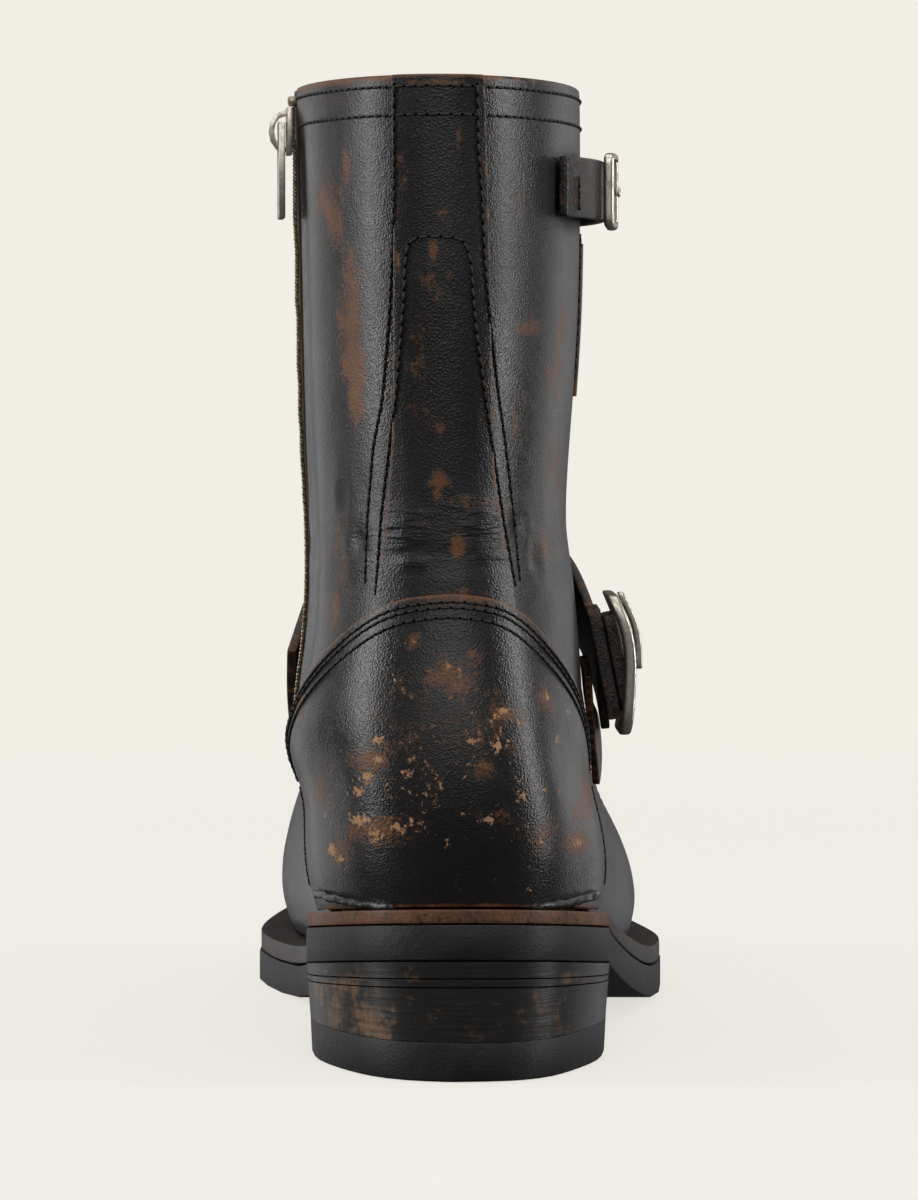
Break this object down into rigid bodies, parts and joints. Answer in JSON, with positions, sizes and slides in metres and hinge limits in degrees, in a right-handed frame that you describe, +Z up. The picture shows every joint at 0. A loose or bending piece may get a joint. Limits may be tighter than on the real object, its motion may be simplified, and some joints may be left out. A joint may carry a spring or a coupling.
{
  "type": "engineer boot",
  "caption": "Right engineer boot in black waxed leather rubbed brown, with a side zip, buckled instep and top straps and a stacked leather heel.",
  "frame": {"origin": "middle of the bounding box, on the floor", "axes": "+Y towards the toe, +X towards the outer (lateral) side, +Z up"},
  "size_m": [0.1054, 0.3032, 0.226],
  "materials": {
    "upper_leather": "waxed, grained, black rubbed through to brown",
    "strap_leather": "waxed, raw brown-black edges",
    "insole_leather": "smooth vegetable-tanned board",
    "welt_leather": "black edge ink worn to brown",
    "heel_leather": "stacked, inked black with brown patches",
    "sole_rubber": "matte, slightly rough",
    "zip_cloth": "woven tape",
    "zip_metal": "antique brass with dark patina",
    "buckle_metal": "antique nickel, brushed edges"
  },
  "bodies": {
    "root": {"upper": "upper_leather", "insole": "insole_leather", "welt": "welt_leather", "outsole": "sole_rubber", "heel_lift_lower": "heel_leather", "heel_lift_middle": "heel_leather", "heel_lift_upper": "heel_leather", "top_lift": "sole_rubber", "counter": "upper_leather", "backstay": "upper_leather", "zip_tape": "zip_cloth", "zip_teeth": "zip_metal", "zip_slider": "zip_metal", "instep_strap": "strap_leather", "buckle_strap": "strap_leather", "instep_buckle": "buckle_metal", "instep_prong": "buckle_metal", "top_strap": "strap_leather", "top_buckle": "buckle_metal", "top_prong": "buckle_metal"},
    "zip_pull": {"zip_pull": "zip_metal"}
  },
  "joints": [
    {"name": "zip_pull_hinge", "type": "hinge", "parent": "root", "child": "zip_pull", "pos_m": [-0.04165, -0.09023, 0.2175], "axis": [-0.0864, 0.9963, 0], "range_deg": [0, 150]}
  ]
}
